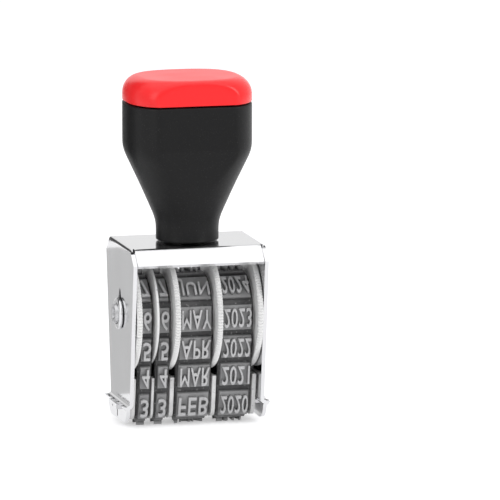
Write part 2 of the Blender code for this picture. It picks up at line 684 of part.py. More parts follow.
def make_handle_screw():
    """The screw up through the plate into the stem, with a washer under the plate."""
    washer_top = PLATE_BOTTOM - SEAT_GAP
    washer_low = washer_top - WASHER_THICKNESS
    inner = SCREW_RADIUS + RUN_GAP
    ring = [(inner, washer_top), (WASHER_RADIUS, washer_top), (WASHER_RADIUS, washer_low), (inner, washer_low)]
    finish(turned("handle_washer", ring, "Z", SMALL_SIDES), "handle_washer", DARK_STEEL)
    head_top = washer_low - RUN_GAP
    head_low = head_top - SCREW_HEAD_HEIGHT
    tip = HANDLE_BASE + SCREW_REACH
    profile = [(0, tip), (SCREW_RADIUS, tip), (SCREW_RADIUS, head_top), (SCREW_HEAD_RADIUS, head_top)]
    profile += [(SCREW_HEAD_RADIUS, head_low), (0, head_low)]
    screw = turned("handle_screw", profile, "Z", SMALL_SIDES)
    half = SCREW_SLOT / 2
    reach = SCREW_HEAD_RADIUS + OVERRUN
    slot = box_solid("screw_slot", (-reach, -half, head_low - OVERRUN), (reach, half, head_low + SCREW_SLOT_DEPTH))
    combine(screw, slot, "DIFFERENCE")
    finish(screw, "handle_screw", DARK_STEEL)


clear_scene()
STAMP = new_collection("date_stamp")
CUTTERS = new_collection("cutters")
make_frame()
make_axle()
make_eyelet("axle_eyelet_left", -1)
make_eyelet("axle_eyelet_right", 1)
make_wheels()
make_separator()
make_bands()
make_platen()
make_tongues()
make_handle()
make_cap()
make_handle_screw()
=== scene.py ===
"""The finish of a manual band date stamp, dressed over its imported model."""

import math

import bmesh
import bpy
import numpy as np
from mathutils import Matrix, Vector


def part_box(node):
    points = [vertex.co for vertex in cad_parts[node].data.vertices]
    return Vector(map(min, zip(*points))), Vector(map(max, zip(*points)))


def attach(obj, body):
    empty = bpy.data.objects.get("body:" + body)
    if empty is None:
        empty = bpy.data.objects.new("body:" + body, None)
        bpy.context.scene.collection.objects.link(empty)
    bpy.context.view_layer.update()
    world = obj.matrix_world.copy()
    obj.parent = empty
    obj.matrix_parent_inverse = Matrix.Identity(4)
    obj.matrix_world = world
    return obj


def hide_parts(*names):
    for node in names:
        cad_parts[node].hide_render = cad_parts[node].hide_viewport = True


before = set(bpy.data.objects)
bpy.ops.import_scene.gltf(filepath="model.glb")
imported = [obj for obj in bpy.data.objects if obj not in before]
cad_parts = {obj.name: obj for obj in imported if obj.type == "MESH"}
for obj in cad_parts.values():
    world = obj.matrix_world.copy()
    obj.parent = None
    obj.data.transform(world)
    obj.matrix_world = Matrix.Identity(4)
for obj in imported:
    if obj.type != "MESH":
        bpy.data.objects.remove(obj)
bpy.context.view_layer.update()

MM = 0.001

# Camera, table and light.
# The stamp stands on a white table and is seen from its left, a little above the frame's
# middle. Two softboxes and one overhead light it. Cards that only reflections see give its
# sheet an edge, its left cheek a grey and its grip a dark side.
VIEW_TURN = math.radians(-14.2)
VIEW_RISE = math.radians(9.4)
VIEW_DISTANCE = 1.5
VIEW_LENS = 530
VIEW_SHIFT_RIGHT = 12.8 * MM
VIEW_SHIFT_UP = -0.55 * MM
VIEW_HEIGHT = 36 * MM
TABLE_HALF = 4.0
TABLE_WHITE = (0.86, 0.86, 0.87, 1)
TABLE_LIFT = 0.42
WORLD_FILL = 0.6
CARD_BASE = (0.02, 0.02, 0.02, 1)

view_back = Vector((
    math.sin(VIEW_TURN) * math.cos(VIEW_RISE),
    -math.cos(VIEW_TURN) * math.cos(VIEW_RISE),
    math.sin(VIEW_RISE),
))
view_right = Vector((math.cos(VIEW_TURN), math.sin(VIEW_TURN), 0))
view_up = view_back.cross(view_right)
camera = bpy.data.objects.new("camera", bpy.data.cameras.new("camera"))
bpy.context.scene.collection.objects.link(camera)
camera.data.lens = VIEW_LENS
camera.data.clip_end = 50
view_shift = view_right * VIEW_SHIFT_RIGHT + view_up * VIEW_SHIFT_UP
camera.location = Vector((0, 0, VIEW_HEIGHT)) + view_shift + view_back * VIEW_DISTANCE
camera.rotation_mode = "QUATERNION"
camera.rotation_quaternion = view_back.to_track_quat("Z", "Y")
bpy.context.scene.camera = camera
bpy.context.scene.view_settings.view_transform = "Standard"


def new_object(name, mesh):
    """Link a mesh as an object at the origin."""
    thing = bpy.data.objects.new(name, mesh)
    bpy.context.scene.collection.objects.link(thing)
    return thing


def seen_rays(nodes, links):
    """1 for what the camera sees directly, in a mirror or through glass, and 0 for light."""
    path = nodes.new("ShaderNodeLightPath")
    total = path.outputs["Is Camera Ray"]
    for label in ("Is Glossy Ray", "Is Transmission Ray"):
        add = nodes.new("ShaderNodeMath")
        add.operation = "MAXIMUM"
        links.new(total, add.inputs[0])
        links.new(path.outputs[label], add.inputs[1])
        total = add.outputs[0]
    return total


def set_world():
    """White behind the object, and an even soft fill on it."""
    world = bpy.data.worlds.new("studio")
    bpy.context.scene.world = world
    world.use_nodes = True
    nodes, links = world.node_tree.nodes, world.node_tree.links
    strength = nodes.new("ShaderNodeMapRange")
    strength.inputs["To Min"].default_value = WORLD_FILL
    strength.inputs["To Max"].default_value = 1.0
    links.new(seen_rays(nodes, links), strength.inputs["Value"])
    background = nodes["Background"]
    background.inputs["Color"].default_value = (1, 1, 1, 1)
    links.new(strength.outputs["Result"], background.inputs["Strength"])


def make_table():
    """One wide white sheet, lifted a little where it is seen so that it stays white."""
    mesh = bpy.data.meshes.new("table")
    corners = [(-TABLE_HALF, -TABLE_HALF, 0), (TABLE_HALF, -TABLE_HALF, 0)]
    corners += [(TABLE_HALF, TABLE_HALF, 0), (-TABLE_HALF, TABLE_HALF, 0)]
    mesh.from_pydata(corners, [], [(0, 1, 2, 3)])
    table = new_object("table", mesh)
    paint = bpy.data.materials.new("table")
    paint.use_nodes = True
    nodes, links = paint.node_tree.nodes, paint.node_tree.links
    shader = nodes["Principled BSDF"]
    shader.inputs["Base Color"].default_value = TABLE_WHITE
    shader.inputs["Roughness"].default_value = 0.9
    shader.inputs["Emission Color"].default_value = (1, 1, 1, 1)
    lift = nodes.new("ShaderNodeMath")
    lift.operation = "MULTIPLY"
    lift.inputs[1].default_value = TABLE_LIFT
    links.new(seen_rays(nodes, links), lift.inputs[0])
    links.new(lift.outputs[0], shader.inputs["Emission Strength"])
    mesh.materials.append(paint)


def add_softbox(name, place, aim, size, power):
    """A square area lamp at a place, turned towards a point."""
    lamp = bpy.data.lights.new(name, "AREA")
    lamp.shape = "RECTANGLE"
    lamp.size, lamp.size_y = size
    lamp.energy = power
    box = bpy.data.objects.new(name, lamp)
    bpy.context.scene.collection.objects.link(box)
    box.location = place
    box.rotation_mode = "QUATERNION"
    box.rotation_quaternion = (Vector(place) - Vector(aim)).to_track_quat("Z", "Y")


def add_card(name, centre, right, up, tone):
    """A card of an even tone that only reflections see."""
    mesh = bpy.data.meshes.new(name)
    centre, right, up = Vector(centre), Vector(right), Vector(up)
    corners = [centre - right - up, centre + right - up, centre + right + up, centre - right + up]
    mesh.from_pydata(corners, [], [(0, 1, 2, 3)])
    card = new_object(name, mesh)
    paint = bpy.data.materials.new(name)
    paint.use_nodes = True
    shader = paint.node_tree.nodes["Principled BSDF"]
    shader.inputs["Base Color"].default_value = CARD_BASE
    shader.inputs["Emission Color"].default_value = (1, 1, 1, 1)
    shader.inputs["Emission Strength"].default_value = tone
    mesh.materials.append(paint)
    card.visible_camera = False
    card.visible_shadow = False
    card.visible_diffuse = False


set_world()
make_table()
STAMP_MIDDLE = (0, 0, 0.035)
add_softbox("softbox_overhead", (-0.05, -0.1, 0.6), STAMP_MIDDLE, (0.8, 0.8), 1.4)
add_softbox("softbox_left", (-0.55, -0.35, 0.3), STAMP_MIDDLE, (0.3, 0.5), 0.9)
add_softbox("softbox_right", (0.5, -0.5, 0.35), STAMP_MIDDLE, (0.25, 0.5), 2.0)
add_card("card_front", (0.25, -0.9, 0.02), (0.22, 0, 0), (0, 0, 0.10), 0)
add_card("card_cheek", (-0.039, 0.03, 0.016), (0.022, 0, 0), (0, 0, 0.0155), 0.62)
add_card("card_grip", (-0.039, 0.03, 0.07), (0.022, 0, 0), (0, 0, 0.037), 0.05)

# Pressed steel frame.
# One sheet folded over the wheels: a top plate, two cheeks with a joggled foot, and two
# sloped aprons between them. It is bright nickel plate over smooth rolled steel.
SHEET = 0.8 * MM
FOLD_RADIUS = 0.55 * MM
APRON_SIDE_GAP = 0.15 * MM
PLATE_SEAM_HALF = 8.2 * MM
EDGE_ROUND = 0.13 * MM
STEP_RISE = 0.5 * MM
PLATE_HALF = 9.0 * MM
LIP_DROP = 3.0 * MM
STRAP_STEP = 0.6 * MM
STRAP_RISE = 4.2 * MM
EYELET_HOLE = 2.8 * MM
KEYHOLE_ROOT = (2.3 * MM, 1.3 * MM)
KEYHOLE_POINT = (0.4 * MM, 4.9 * MM)
KEYHOLE_TIP = 5.2 * MM
SLIT_GAP = 0.3 * MM
SPLIT_HALF = 0.3 * MM
SPLIT_MARGIN = 0.6 * MM
CUT_OVERRUN = 1 * MM
FOOT_HALF_DEPTH = 8.3 * MM
FOOT_CORNER_REACH = 3.4 * MM
FOOT_CORNER_RISE = 3.8 * MM
frame_low, frame_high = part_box("frame_bracket")
outer_half = frame_high[0] - STRAP_STEP
foot_half = frame_high[0]
inner_half = outer_half - SHEET
plate_top = frame_high[2]
foot_z = frame_low[2]
apron_half = frame_high[1]
JOGGLE_Z = foot_z + STRAP_RISE


def grid_faces(rows, columns, closed_rows=False, closed_columns=False):
    """Quads of a rows x columns grid of points, wrapped round either way if it is closed."""
    r = np.arange(rows if closed_rows else rows - 1)
    c = np.arange(columns if closed_columns else columns - 1)
    i, j = np.meshgrid(r, c, indexing="ij")
    i2, j2 = (i + 1) % rows, (j + 1) % columns
    quads = np.stack([i * columns + j, i * columns + j2, i2 * columns + j2, i2 * columns + j], axis=-1)
    return quads.reshape(-1, 4)


def grid_mesh(name, points, closed_rows=False, closed_columns=False):
    """A mesh of quads from an array of points shaped rows x columns x 3."""
    rows, columns = points.shape[:2]
    mesh = bpy.data.meshes.new(name)
    faces = grid_faces(rows, columns, closed_rows, closed_columns)
    mesh.from_pydata(points.reshape(-1, 3), [], faces.tolist())
    return mesh


def tidy_mesh(mesh, merge=1e-6):
    """Merge doubled points and turn every face outwards."""
    work = bmesh.new()
    work.from_mesh(mesh)
    bmesh.ops.remove_doubles(work, verts=work.verts, dist=merge)
    bmesh.ops.recalc_face_normals(work, faces=work.faces)
    work.to_mesh(mesh)
    work.free()


def smooth(thing, angle=35):
    """Shade smooth, but keep edges sharper than the angle."""
    thing.data.shade_smooth()
    thing.data.set_sharp_from_angle(angle=math.radians(angle))


def settle(thing):
    """Replace an object's mesh by what its modifiers make of it, and drop the modifiers."""
    bpy.context.view_layer.update()
    result = bpy.data.meshes.new_from_object(thing.evaluated_get(bpy.context.evaluated_depsgraph_get()))
    thing.modifiers.clear()
    old = thing.data
    thing.data = result
    bpy.data.meshes.remove(old)


def round_edges(thing, width, segments=2, angle=35):
    bevel = thing.modifiers.new("round", "BEVEL")
    bevel.width = width
    bevel.segments = segments
    bevel.limit_method = "ANGLE"
    bevel.angle_limit = math.radians(angle)


def frame_section():
    """The sheet's outer line from one cheek's foot over the top to the other, as (x, z).

    Each cheek is upright with a joggle outwards at its foot, and a quarter circle of
    FOLD_RADIUS turns it into the plate.
    """
    rounding = np.linspace(0, 1, 10)
    corner = foot_z + FOOT_CORNER_RISE * (1 - np.cos(rounding * np.pi / 2))
    step = np.linspace(0, 1, 7)
    fade = step * step * (3 - 2 * step)
    foot_x = np.full(corner.size, foot_half)
    joggle_x = foot_half + (outer_half - foot_half) * fade
    joggle_z = JOGGLE_Z - STEP_RISE + STEP_RISE * step
    rise = np.linspace(JOGGLE_Z, plate_top - LIP_DROP, 60)[1:]
    slope = np.linspace(plate_top - LIP_DROP, plate_top - FOLD_RADIUS, 8)[1:]
    turn = np.linspace(0, np.pi / 2, 9)[1:]
    fold_x = outer_half - FOLD_RADIUS * (1 - np.cos(turn))
    fold_z = plate_top - FOLD_RADIUS * (1 - np.sin(turn))
    across = np.array([inner_half - APRON_SIDE_GAP, *np.linspace(inner_half - 1 * MM, 0, 20)])
    x = np.concatenate([foot_x, joggle_x, np.full(rise.size + slope.size, outer_half), fold_x, across])
    z = np.concatenate([corner, joggle_z, rise, slope, fold_z, np.full(across.size, plate_top)])
    left = np.stack([-x, z], axis=1)
    right = np.stack([x[::-1][1:], z[::-1][1:]], axis=1)
    return np.concatenate([left, right])


def half_depth(z):
    """Half the cheek's depth at a height: a rounded foot, a straight taper and a sloped top."""
    lip_z = plate_top - LIP_DROP
    centre_z = foot_z + FOOT_CORNER_RISE
    sink = np.clip((centre_z - z) / FOOT_CORNER_RISE, 0, 1)
    foot = FOOT_HALF_DEPTH - FOOT_CORNER_REACH * (1 - np.sqrt(1 - sink ** 2))
    taper = np.interp(z, [centre_z, lip_z, plate_top], [FOOT_HALF_DEPTH, apron_half, PLATE_HALF])
    return np.where(z < centre_z, foot, taper)


def frame_sheet():
    """The folded sheet as one open surface: the section carried across the depth.

    A point is (x(u), v h(u), z(u)) with v from -1 to 1, where h is the half depth there.
    On the plate h stops short of the aprons' folds, which carry it on.
    """
    section = frame_section()
    x, z = section[:, 0], section[:, 1]
    on_plate = (z > plate_top - 1e-7) & (np.abs(x) < inner_half - APRON_SIDE_GAP + 1e-7)
    h = np.where(on_plate, PLATE_SEAM_HALF, half_depth(z))
    across = np.linspace(-1, 1, 25)
    points = np.stack(np.broadcast_arrays(x[:, None], h[:, None] * across, z[:, None]), axis=-1)
    mesh = grid_mesh("frame_bracket_sheet", points)
    seam_x = x[on_plate]
    for side in (-1, 1):
        add_apron(mesh, seam_x, side)
    tidy_mesh(mesh)
    return mesh


def add_apron(mesh, seam_x, side):
    """Add one apron to the sheet: from the plate's seam round the fold and down to its lip."""
    lean = math.atan2(LIP_DROP, apron_half - PLATE_HALF)
    radius = FOLD_RADIUS * 1.6
    reach = radius * math.tan(lean / 2)
    turn = np.linspace(0, lean, 8)
    fold_y = PLATE_HALF - reach + radius * np.sin(turn)
    fold_z = plate_top - radius * (1 - np.cos(turn))
    run = np.linspace(0, 1, 9)[1:]
    down_y = fold_y[-1] + (apron_half - fold_y[-1]) * run
    down_z = fold_z[-1] + (plate_top - LIP_DROP - fold_z[-1]) * run
    y = side * np.concatenate([[PLATE_SEAM_HALF], fold_y, down_y])
    z = np.concatenate([[plate_top], fold_z, down_z])
    points = np.stack(np.broadcast_arrays(seam_x[:, None], y[None, :], z[None, :]), axis=-1)
    work = bmesh.new()
    work.from_mesh(mesh)
    made = grid_mesh("apron", points)
    work.from_mesh(made)
    work.to_mesh(mesh)
    work.free()
    bpy.data.meshes.remove(made)


def cut(thing, mesh):
    """Cut a closed mesh out of a thing, through both cheeks at once."""
    cutter = new_object("cutter", mesh)
    step = thing.modifiers.new("cut", "BOOLEAN")
    step.operation = "DIFFERENCE"
    step.object = cutter
    settle(thing)
    bpy.data.objects.remove(cutter, do_unlink=True)


def prism(outline, half_length):
    """A closed prism of a (y, z) outline from -half_length to half_length along X."""
    outline = np.asarray(outline)
    mesh = bpy.data.meshes.new("prism")
    count = len(outline)
    ends = [np.column_stack([np.full(count, side * half_length), outline]) for side in (-1, 1)]
    faces = [tuple(reversed(range(count))), tuple(range(count, 2 * count))]
    faces += grid_faces(2, count, closed_columns=True).tolist()
    mesh.from_pydata(np.concatenate(ends), [], faces)
    tidy_mesh(mesh)
    return mesh


def effect_group(name, inputs, outputs):
    """An empty node group with the sockets named, and its input and output nodes."""
    group = bpy.data.node_groups.new(name, "ShaderNodeTree")
    for label, value in inputs:
        socket = group.interface.new_socket(label, in_out="INPUT", socket_type="NodeSocketFloat")
        socket.default_value = value
    for label in outputs:
        group.interface.new_socket(label, in_out="OUTPUT", socket_type="NodeSocketFloat")
    return group, group.nodes.new("NodeGroupInput"), group.nodes.new("NodeGroupOutput")


def mottle_group():
    """Broad and fine cloudiness on Object coordinates, both from 0 to 1."""
    group, start, end = effect_group("mottle", [("Broad Scale", 60), ("Fine Scale", 900)], ["Broad", "Fine"])
    where = group.nodes.new("ShaderNodeTexCoord")
    for label, detail in (("Broad", 3), ("Fine", 5)):
        noise = group.nodes.new("ShaderNodeTexNoise")
        noise.inputs["Detail"].default_value = detail
        group.links.new(where.outputs["Object"], noise.inputs["Vector"])
        group.links.new(start.outputs[f"{label} Scale"], noise.inputs["Scale"])
        group.links.new(noise.outputs["Fac"], end.inputs[label])
    return group


def speck_group():
    """Sparse small specks of dust or scuff: 1 on a speck and 0 off it."""
    group, start, end = effect_group("specks", [("Scale", 800), ("Share", 0.2)], ["Speck"])
    where = group.nodes.new("ShaderNodeTexCoord")
    noise = group.nodes.new("ShaderNodeTexNoise")
    noise.inputs["Detail"].default_value = 2
    ramp = group.nodes.new("ShaderNodeMapRange")
    ramp.interpolation_type = "SMOOTHSTEP"
    high = group.nodes.new("ShaderNodeMath")
    high.operation = "SUBTRACT"
    high.inputs[0].default_value = 1
    group.links.new(where.outputs["Object"], noise.inputs["Vector"])
    group.links.new(start.outputs["Scale"], noise.inputs["Scale"])
    group.links.new(start.outputs["Share"], high.inputs[1])
    group.links.new(noise.outputs["Fac"], ramp.inputs["Value"])
    group.links.new(high.outputs[0], ramp.inputs["From Max"])
    ramp.inputs["From Min"].default_value = 0.6
    group.links.new(ramp.outputs["Result"], end.inputs["Speck"])
    return group


MOTTLE = mottle_group()
SPECKS = speck_group()


class Paint:
    """A material being built round its Principled BSDF."""

    def __init__(self, name, roughness, metallic=0, ior=1.5):
        self.material = bpy.data.materials.new(name)
        self.material.use_nodes = True
        self.nodes = self.material.node_tree.nodes
        self.links = self.material.node_tree.links
        self.shader = self.nodes["Principled BSDF"]
        self.shader.inputs["Roughness"].default_value = roughness
        self.shader.inputs["Metallic"].default_value = metallic
        self.shader.inputs["IOR"].default_value = ior

    def effect(self, group, **values):
        node = self.nodes.new("ShaderNodeGroup")
        node.node_tree = group
        for label, value in values.items():
            node.inputs[label.replace("_", " ")].default_value = value
        return node

    def ramp(self, source, low, high, start=0.35, end=0.65):
        """Map a 0 to 1 effect to the range low to high."""
        node = self.nodes.new("ShaderNodeMapRange")
        self.links.new(source, node.inputs["Value"])
        for label, value in (("From Min", start), ("From Max", end), ("To Min", low), ("To Max", high)):
            node.inputs[label].default_value = value
        return node.outputs["Result"]

    def blend(self, source, low, high):
        """Blend two colours by a 0 to 1 effect."""
        node = self.nodes.new("ShaderNodeMix")
        node.data_type = "RGBA"
        node.inputs["A"].default_value = (*low, 1) if isinstance(low, tuple) else (0, 0, 0, 1)
        if not isinstance(low, tuple):
            self.links.new(low, node.inputs["A"])
        node.inputs["B"].default_value = (*high, 1)
        self.links.new(source, node.inputs["Factor"])
        return node.outputs["Result"]

    def bump(self, source, distance, strength=1.0):
        node = self.nodes.new("ShaderNodeBump")
        node.inputs["Distance"].default_value = distance
        node.inputs["Strength"].default_value = strength
        self.links.new(source, node.inputs["Height"])
        self.links.new(node.outputs["Normal"], self.shader.inputs["Normal"])

    def feed(self, source, socket):
        self.links.new(source, self.shader.inputs[socket])


def wear(thing, paint):
    thing.data.materials.clear()
    thing.data.materials.append(paint.material)


def bright_plate():
    """Nickel plate: a faint cloudiness in its tone and polish, and a rolled grain."""
    paint = Paint("bright_plate", 0.12, metallic=1)
    mottle = paint.effect(MOTTLE, Broad_Scale=90, Fine_Scale=2500)
    paint.feed(paint.blend(mottle.outputs["Broad"], (0.60, 0.60, 0.61), (0.69, 0.69, 0.70)), "Base Color")
    paint.feed(paint.ramp(mottle.outputs["Broad"], 0.09, 0.17), "Roughness")
    paint.bump(mottle.outputs["Fine"], 0.002 * MM, 0.5)
    return paint


def make_frame():
    """Fold the sheet, give it its wall, cut its holes and round its edges."""
    body = new_object("frame_sheet", frame_sheet())
    wall = body.modifiers.new("wall", "SOLIDIFY")
    wall.thickness = SHEET
    wall.offset = -1
    settle(body)
    reach = foot_half + CUT_OVERRUN
    axle_low, axle_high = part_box("axle")
    axle_z = (axle_low[2] + axle_high[2]) / 2
    turn = np.linspace(0, 2 * np.pi, 48, endpoint=False)
    hole = np.column_stack([EYELET_HOLE * np.cos(turn), axle_z + EYELET_HOLE * np.sin(turn)])
    cut(body, prism(hole, reach))
    root_half, root_rise = KEYHOLE_ROOT
    point_half, point_rise = KEYHOLE_POINT
    keyhole = [(-root_half, axle_z + root_rise), (root_half, axle_z + root_rise)]
    keyhole += [(point_half, axle_z + point_rise), (0, axle_z + KEYHOLE_TIP)]
    keyhole.append((-point_half, axle_z + point_rise))
    cut(body, prism(keyhole, reach))
    low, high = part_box("platen_tongue_left")
    slit_z = (low[2] + high[2]) / 2
    slit_half = high[1] + SLIT_GAP
    slit_rise = (high[2] - low[2]) / 2 + SLIT_GAP
    slit = [(-slit_half, slit_z - slit_rise), (slit_half, slit_z - slit_rise)]
    slit += [(slit_half, slit_z + slit_rise), (-slit_half, slit_z + slit_rise)]
    cut(body, prism(slit, reach))
    split_low = foot_z + SPLIT_MARGIN
    split = [(-SPLIT_HALF, split_low), (SPLIT_HALF, split_low)]
    split += [(SPLIT_HALF, slit_z), (-SPLIT_HALF, slit_z)]
    cut(body, prism(split, reach))
    round_edges(body, EDGE_ROUND)
    settle(body)
    smooth(body)
    wear(body, bright_plate())
    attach(body, "frame")
    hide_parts("frame_bracket")


make_frame()

# Axle and eyelets.
# The steel axle is bored and slotted at its ends. Each cheek carries it in a bright eyelet,
# rolled over on the outside.
EYELET_BORE = 2.15 * MM
EYELET_SLEEVE = 2.65 * MM
EYELET_SEAT_GAP = 0.15 * MM
FLANGE_LAND = 0.5 * MM
FLANGE_EDGE = 0.25 * MM
BORE_DRAFT = 0.1 * MM
BORE_EDGE = 0.2 * MM
FLANGE_ROUND = 0.16 * MM


def revolve(name, profile, centre_z, steps, ribs=None):
    """Turn a closed (radius, x) profile about the axle.

    A point is (x, r cos t, z0 + r sin t), where ribs(r, t) may lower the radius.
    """
    profile = np.asarray(profile)
    t = np.linspace(0, 2 * np.pi, steps, endpoint=False)[:, None]
    r = np.broadcast_to(profile[:, 0], (steps, len(profile)))
    if ribs is not None:
        r = ribs(r, t)
    x = np.broadcast_to(profile[:, 1], r.shape)
    points = np.stack([x, r * np.cos(t), centre_z + r * np.sin(t)], axis=-1)
    mesh = grid_mesh(name, points, closed_rows=True, closed_columns=True)
    tidy_mesh(mesh)
    return mesh


def rounded(corners, radius, steps=4):
    """Round every corner of a closed outline with an arc-like quadratic curve."""
    corners = [np.asarray(c, float) for c in corners]
    points = []
    for k, corner in enumerate(corners):
        before, after = corners[k - 1], corners[(k + 1) % len(corners)]
        for_before = min(radius, np.linalg.norm(before - corner) / 2.2)
        for_after = min(radius, np.linalg.norm(after - corner) / 2.2)
        start = corner + (before - corner) / np.linalg.norm(before - corner) * for_before
        end = corner + (after - corner) / np.linalg.norm(after - corner) * for_after
        for s in np.linspace(0, 1, steps + 1):
            points.append((1 - s) ** 2 * start + 2 * s * (1 - s) * corner + s * s * end)
    return np.array(points)


def make_eyelets():
    """A rolled ring on each cheek: a sleeve through the sheet and a domed flange outside it."""
    for name, side in (("axle_eyelet_left", -1), ("axle_eyelet_right", 1)):
        low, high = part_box(name)
        centre_z = (low[2] + high[2]) / 2
        rim = (high[2] - low[2]) / 2
        start, end = sorted((abs(low[0]), abs(high[0])))
        seat = outer_half + EYELET_SEAT_GAP
        corners = [(EYELET_BORE, start), (EYELET_SLEEVE, start), (EYELET_SLEEVE, seat), (rim, seat)]
        corners += [(rim, end - FLANGE_EDGE), (rim - FLANGE_LAND, end)]
        corners += [(EYELET_BORE + BORE_DRAFT, end), (EYELET_BORE, end - BORE_EDGE)]
        profile = rounded(corners, FLANGE_ROUND)
        profile[:, 1] *= side
        ring = new_object(name + "_ring", revolve(name + "_ring", profile, centre_z, 96))
        smooth(ring, 50)
        wear(ring, bright_plate())
        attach(ring, "frame")
        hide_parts(name)


def plain_steel():
    """Drawn steel: greyer and rougher than the plate, with a fine grain."""
    paint = Paint("plain_steel", 0.3, metallic=1)
    mottle = paint.effect(MOTTLE, Broad_Scale=300, Fine_Scale=4000)
    paint.feed(paint.blend(mottle.outputs["Broad"], (0.42, 0.42, 0.43), (0.56, 0.56, 0.57)), "Base Color")
    paint.feed(paint.ramp(mottle.outputs["Fine"], 0.22, 0.38), "Roughness")
    paint.bump(mottle.outputs["Fine"], 0.003 * MM, 0.6)
    return paint


def dress_copy(node, name, width, paint):
    """A copy of a CAD node with its triangles merged and its edges rounded."""
    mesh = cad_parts[node].data.copy()
    work = bmesh.new()
    work.from_mesh(mesh)
    bmesh.ops.remove_doubles(work, verts=work.verts, dist=1e-6)
    bmesh.ops.dissolve_limit(work, angle_limit=math.radians(0.5), verts=work.verts, edges=work.edges)
    work.to_mesh(mesh)
    work.free()
    copy = new_object(name, mesh)
    round_edges(copy, width, 2, 40)
    settle(copy)
    smooth(copy, 50)
    wear(copy, paint)
    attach(copy, "frame")
    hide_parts(node)
    return copy


make_eyelets()
steel = plain_steel()
dress_copy("axle", "axle_rod", 0.1 * MM, steel)
for hidden in ("platen_tongue_left", "platen_tongue_right", "handle_screw", "handle_washer"):
    dress_copy(hidden, hidden + "_steel", 0.05 * MM, steel)

# Thumb wheels and the day separator.
# Each wheel is one white moulding: a finely ribbed disc that the thumb turns, with a raised
# rim, and the drum that drives its band. A plain thin disc parts the two day bands.
RIB_COUNT = 120
RIB_DEPTH = 0.38 * MM
RIM_LAND = 1.0 * MM
RIM_EDGE = 0.3 * MM
WEB_GAP = 0.7 * MM
WEB_SINK = 0.14 * MM
WHEEL_ROUND = 0.1 * MM
SEPARATOR_ROUND = 0.15 * MM
DISC_WIDTH = 1.1 * MM
STEPS_PER_RIB = 8
axle_low, axle_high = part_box("axle")
axle_z = (axle_low[2] + axle_high[2]) / 2
BORE = 2.15 * MM
DRUM = 6.6 * MM


def white_moulding():
    """White plastic: slightly warm, with ink and dust in its fine texture."""
    paint = Paint("white_moulding", 0.42)
    mottle = paint.effect(MOTTLE, Broad_Scale=160, Fine_Scale=3000)
    specks = paint.effect(SPECKS, Scale=1400, Share=0.24)
    tone = paint.blend(mottle.outputs["Broad"], (0.74, 0.74, 0.74), (0.84, 0.84, 0.83))
    paint.feed(paint.blend(specks.outputs["Speck"], tone, (0.50, 0.50, 0.51)), "Base Color")
    paint.feed(paint.ramp(mottle.outputs["Fine"], 0.36, 0.52), "Roughness")
    paint.bump(mottle.outputs["Fine"], 0.006 * MM, 0.5)
    return paint


def rim_ribs(r, t):
    """Lower the rim between ribs: the radius falls by RIB_DEPTH (0.5 - 0.5 cos n t)^0.8."""
    disc = r.max()
    weight = np.clip((r - (disc - 2 * RIB_DEPTH)) / (1.6 * RIB_DEPTH), 0, 1)
    valley = (0.5 - 0.5 * np.cos(RIB_COUNT * t)) ** 0.8
    return r - RIB_DEPTH * valley * weight


def wheel_profile(low, high, disc_low, disc_high, disc):
    """A closed (radius, x) outline: bore, drum, then the disc with a sunk web on each face."""
    rim, web = disc - RIM_LAND, DRUM + WEB_GAP
    web_out, rim_in = web + WEB_SINK, rim - WEB_SINK
    left = [(web, disc_low), (web_out, disc_low + WEB_SINK), (rim_in, disc_low + WEB_SINK)]
    left += [(rim, disc_low), (disc - RIM_EDGE, disc_low), (disc, disc_low + RIM_EDGE)]
    right = [(disc, disc_high - RIM_EDGE), (disc - RIM_EDGE, disc_high), (rim, disc_high)]
    right += [(rim_in, disc_high - WEB_SINK), (web_out, disc_high - WEB_SINK), (web, disc_high)]
    corners = [(BORE, low)]
    if low < disc_low:
        corners += [(DRUM, low), (DRUM, disc_low)]
    corners += left + right
    if high > disc_high:
        corners += [(DRUM, disc_high), (DRUM, high)]
    corners.append((BORE, high))
    return rounded(corners, WHEEL_ROUND, 2)


def make_wheels():
    paint = white_moulding()
    for name, body, disc_on_left in (
        ("wheel_day_tens", "day_tens_wheel", True),
        ("wheel_day_units", "day_units_wheel", False),
        ("wheel_month", "month_wheel", False),
        ("wheel_year", "year_wheel", False),
    ):
        low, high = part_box(name)
        disc_low = low[0] if disc_on_left else high[0] - DISC_WIDTH
        profile = wheel_profile(low[0], high[0], disc_low, disc_low + DISC_WIDTH, high[1])
        mesh = revolve(name + "_moulding", profile, axle_z, RIB_COUNT * STEPS_PER_RIB, rim_ribs)
        wheel = new_object(name + "_moulding", mesh)
        smooth(wheel, 50)
        wear(wheel, paint)
        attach(wheel, body)
        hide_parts(name)
    low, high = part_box("day_separator")
    corners = [(BORE, low[0]), (high[1], low[0]), (high[1], high[0]), (BORE, high[0])]
    profile = rounded(corners, SEPARATOR_ROUND)
    disc = new_object("separator_disc", revolve("separator_disc", profile, axle_z, 192))
    smooth(disc, 50)
    wear(disc, paint)
    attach(disc, "frame")
    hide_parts("day_separator")
    dress_copy("platen", "platen_moulding", 0.12 * MM, paint)


make_wheels()

